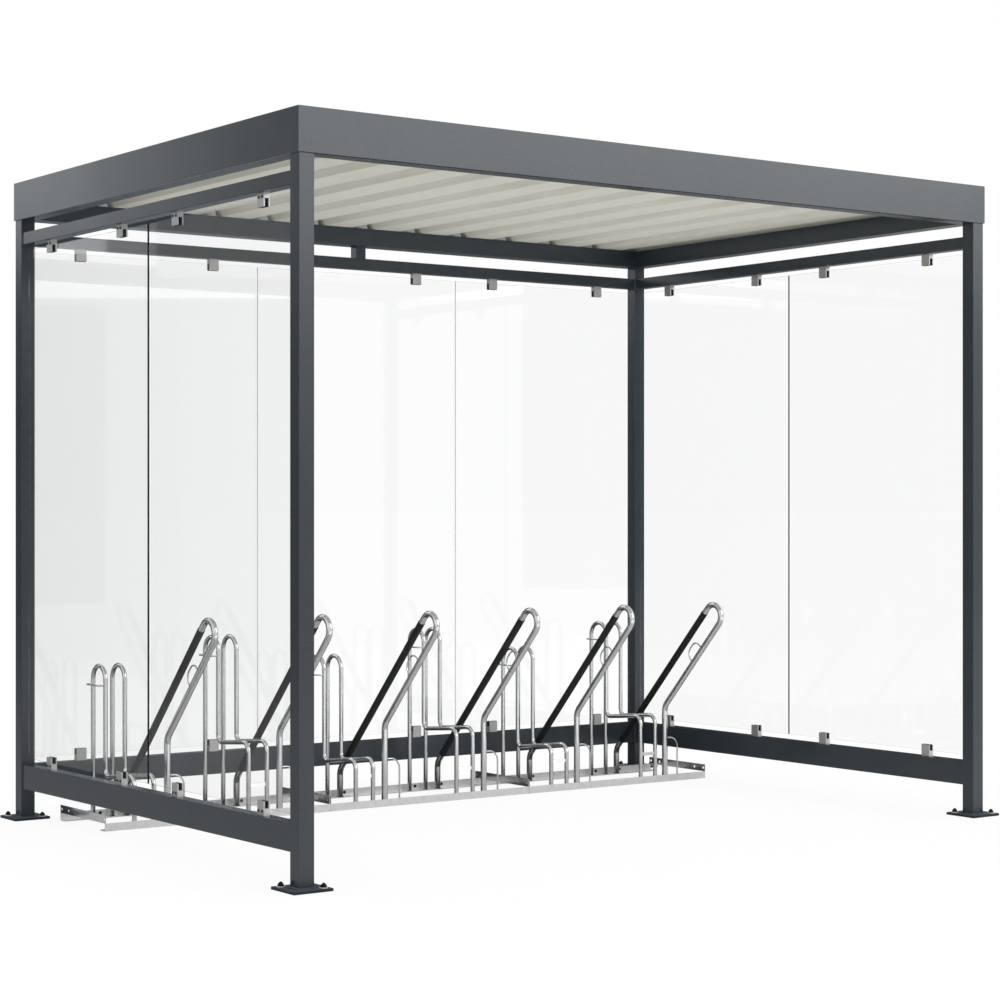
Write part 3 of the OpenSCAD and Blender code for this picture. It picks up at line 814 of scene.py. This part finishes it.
def addRoofScrews(look):
    low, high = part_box("roof_sheet")
    x = look["shift"] + (np.arange(look["flats"]) - look["flats"] / 2 + 0.5) * look["pitch"]
    y = np.array([low.y + look["inset"], high.y - look["inset"]])
    places = np.stack([*np.meshgrid(x, y, indexing="ij"), np.full((len(x), 2), low.z + look["sheet"])], -1)
    r = look["washer"]
    washer = turnedSolid([(r, 0), (r, 0.12 * r), (0.8 * r, 0.26 * r), (0.5 * r, 0.3 * r)], 20)
    head = hexHead(look["across"], 0.7 * look["across"], 0.28 * r, 24)
    points, faces = repeated(*joined([washer, head]), places)
    addPiece("roof_screws", points, faces, [railZinc], "rack_zinc")


addRoofScrews(roofScrew)
print("roof screws made")

# Studio: pale floor, even sky, a large soft panel at the front right, and cards that gloss sees
studio = {
    "skyLight": 0.75,
    "floorSize": 2000,
    "floorColour": (0.80, 0.80, 0.80),
    "eyeColour": (0.20, 0.20, 0.20),   # share of the light that the eye sees on the floor
    "eyeGlow": 0.86,                   # and the glow that makes the open floor white
    "mirrorGlow": (0.0, 0.35),         # what gloss sees on top of the lit floor, back left to front right
    "mirrorRun": (-1.0, 4.0),          # m along that way
    "mirrorWay": (0.6, 0.8),           # its share to the right and to the front
}
# Lamps: place, what they face, width and height, radiance, colour, and whether gloss sees them or
# matt surfaces do
white = (1, 1, 1)
lamps = {
    "keyLamp": ((6.3, -9.3, 6.0), (0, 0, 2.0), (11, 5.4), 3.2, (0.985, 1.0, 1.02), "gloss"),
    "rimLamp": ((-4.3, 8.2, 4.4), (-1.7, 0.5, 2.5), (2.2, 2.4), 1.15, (0.90, 0.97, 1.06), "gloss"),
    "softLamp": ((6.3, -9.3, 6.0), (0, 0, 2.0), (11, 5.4), 1.1, white, "matt"),
    "fillLamp": ((-0.3, 0, 0.05), (-0.3, 0, 1.05), (2.4, 1.4), 2.0, white, "matt"),
    "sideLamp": ((6.2, -1.0, 0.05), (6.2, -1.0, 1.05), (5, 8), 2.0, white, "matt"),
}
# Cards: place, what they face, width and height, and the colour of their glow; where there are
# two colours, the glow runs from the lower or far edge to the other one
cards = {
    "leftCard": ((-8.3, 6.6, 2.4), (-1.7, -1.1, 2.0), (5.6, 6.0), (0.12, 0.12, 0.12)),
    "nearCard": ((-7.17, 7.43, 2.4), (-1.7, -1.1, 2.0), (2.6, 6.0), (0.21, 0.21, 0.21)),
    "veilCard": ((-6.3, 7.77, 3.57), (-1.7, -0.5, 2.3), (1.1, 1.0), (0.50, 0.50, 0.50)),
    "farCard": ((-4.4, 8.4, 1.6), (-4.4, 0, 1.6), (3.6, 3.2), (0.12, 0.12, 0.12)),
    "topCard": ((2.45, 8.35, 1.6), (2.45, 0, 1.6), (2.5, 2.8), (0.26, 0.30, 0.34)),
    "backCard": ((9, 16, 6), (9, 0, 6), (30, 12), (0.02, 0.02, 0.02)),
    "postCard": ((-0.2, -2.1, 1.6), (-1.644, 1.095, 1.6), (0.9, 1.7), (0.20, 0.20, 0.20)),
    "sideCard": ((4.35, -2.0, 2.1), (1.644, 1.095, 2.1), (1.8, 2.7), (0.15, 0.15, 0.15)),
    "frontMat": ((3.5, -4.8, 0.004), (3.5, -4.8, 1), (13, 7), (1.3, 1.3, 1.3)),
    "backMat": ((9, 12, 0.004), (9, 12, 1), (22, 8), (0.31, 0.31, 0.31)),
    "darkMat": ((2.2, 4.06, 0.003), (2.2, 4.06, 1), (7.5, 6.9), (0.05, 0.05, 0.05)),
    "leftMat": ((-4.95, 3.5, 0.0035), (-4.95, 3.5, 1), (6.6, 10.2), (0.25, 0.25, 0.25),
                (0.60, 0.60, 0.60)),
}


def seenBy(tree):
    # what the eye sees, and what gloss or clear glass does; light on the object is neither
    path = addNode(tree, "LightPath").outputs
    mirror = mathNode(tree, "MAXIMUM", path["Is Glossy Ray"], path["Is Transmission Ray"])
    return path["Is Camera Ray"], mirror


def addSky(studio):
    world = bpy.data.worlds.new("sky")
    scene.world = world
    world.use_nodes = True
    tree = world.node_tree
    eye, mirror = seenBy(tree)
    seen = mathNode(tree, "MAXIMUM", eye, mirror)
    backdrop = tree.nodes["Background"].inputs
    tree.links.new(spread(tree, seen, 0, 1, studio["skyLight"], 1), backdrop["Strength"])
    backdrop["Color"].default_value = rgba(white)


def aimed(obj, place, aim):
    way = np.array(aim) - np.array(place)
    flat = math.hypot(way[0], way[1])
    obj.location = place
    obj.rotation_euler = (math.atan2(flat, -way[2]), 0, math.atan2(-way[0], way[1]))


def addLamp(name, place, aim, size, radiance, colour, seenIn):
    data = bpy.data.lights.new(name, "AREA")
    data.shape = "RECTANGLE"
    data.size, data.size_y = size
    data.energy = radiance * math.pi * size[0] * size[1]
    data.color = colour
    lamp = bpy.data.objects.new(name, data)
    aimed(lamp, place, aim)
    lamp.visible_camera = False
    lamp.visible_diffuse = seenIn == "matt"
    lamp.visible_glossy = seenIn == "gloss"
    scene.collection.objects.link(lamp)


def flatSheet(name, size):
    half = np.array(size) / 2
    points = np.array([[-1, -1, 0], [1, -1, 0], [1, 1, 0], [-1, 1, 0]]) * [half[0], half[1], 0]
    mesh = bpy.data.meshes.new(name)
    mesh.from_pydata(points.tolist(), [], [[0, 1, 2, 3]])
    sheet = bpy.data.objects.new(name, mesh)
    scene.collection.objects.link(sheet)
    return sheet


def addFloor(studio):
    floor = flatSheet("floor", (studio["floorSize"], studio["floorSize"]))
    finish, tree, shader, coords = newFinish("paleFloor")
    tree.nodes.remove(shader)
    eye, mirror = seenBy(tree)
    at = addNode(tree, "SeparateXYZ", {0: coords}).outputs
    right = mathNode(tree, "MULTIPLY", at["X"], studio["mirrorWay"][0])
    back = mathNode(tree, "MULTIPLY", at["Y"], studio["mirrorWay"][1])
    way = mathNode(tree, "SUBTRACT", right, back)
    sheen = spread(tree, way, *studio["mirrorRun"], *studio["mirrorGlow"])
    glow = mathNode(tree, "ADD", mathNode(tree, "MULTIPLY", eye, studio["eyeGlow"]),
                    mathNode(tree, "MULTIPLY", mirror, sheen))
    colour = mixColour(tree, eye, studio["floorColour"], studio["eyeColour"])
    lit = addNode(tree, "BsdfDiffuse", {"Color": colour}).outputs[0]
    shine = addNode(tree, "Emission", {"Strength": glow}).outputs[0]
    both = addNode(tree, "AddShader", {0: lit, 1: shine}).outputs[0]
    tree.links.new(both, tree.nodes["Material Output"].inputs["Surface"])
    floor.data.materials.append(finish)


def addCard(name, place, aim, size, glow, endGlow=None):
    # seen only in gloss, so that pale surroundings don't wash out the paint; the glow may run
    # from one edge to the other
    card = flatSheet(name, size)
    finish, tree, shader, coords = newFinish(name)
    tree.nodes.remove(shader)
    up = addNode(tree, "SeparateXYZ", {0: coords}).outputs["Y"]
    along = spread(tree, up, -size[1] / 2, size[1] / 2, 0, 1)
    colour = mixColour(tree, along, glow, endGlow or glow)
    shine = addNode(tree, "Emission", {"Color": colour}).outputs[0]
    tree.links.new(shine, tree.nodes["Material Output"].inputs["Surface"])
    card.data.materials.append(finish)
    aimed(card, place, aim)
    card.visible_camera = False
    card.visible_diffuse = False
    card.visible_shadow = False
    card.visible_transmission = False


addSky(studio)
addFloor(studio)
for name, card in cards.items():
    addCard(name, *card)
for name, lamp in lamps.items():
    addLamp(name, *lamp)
print("studio lit")
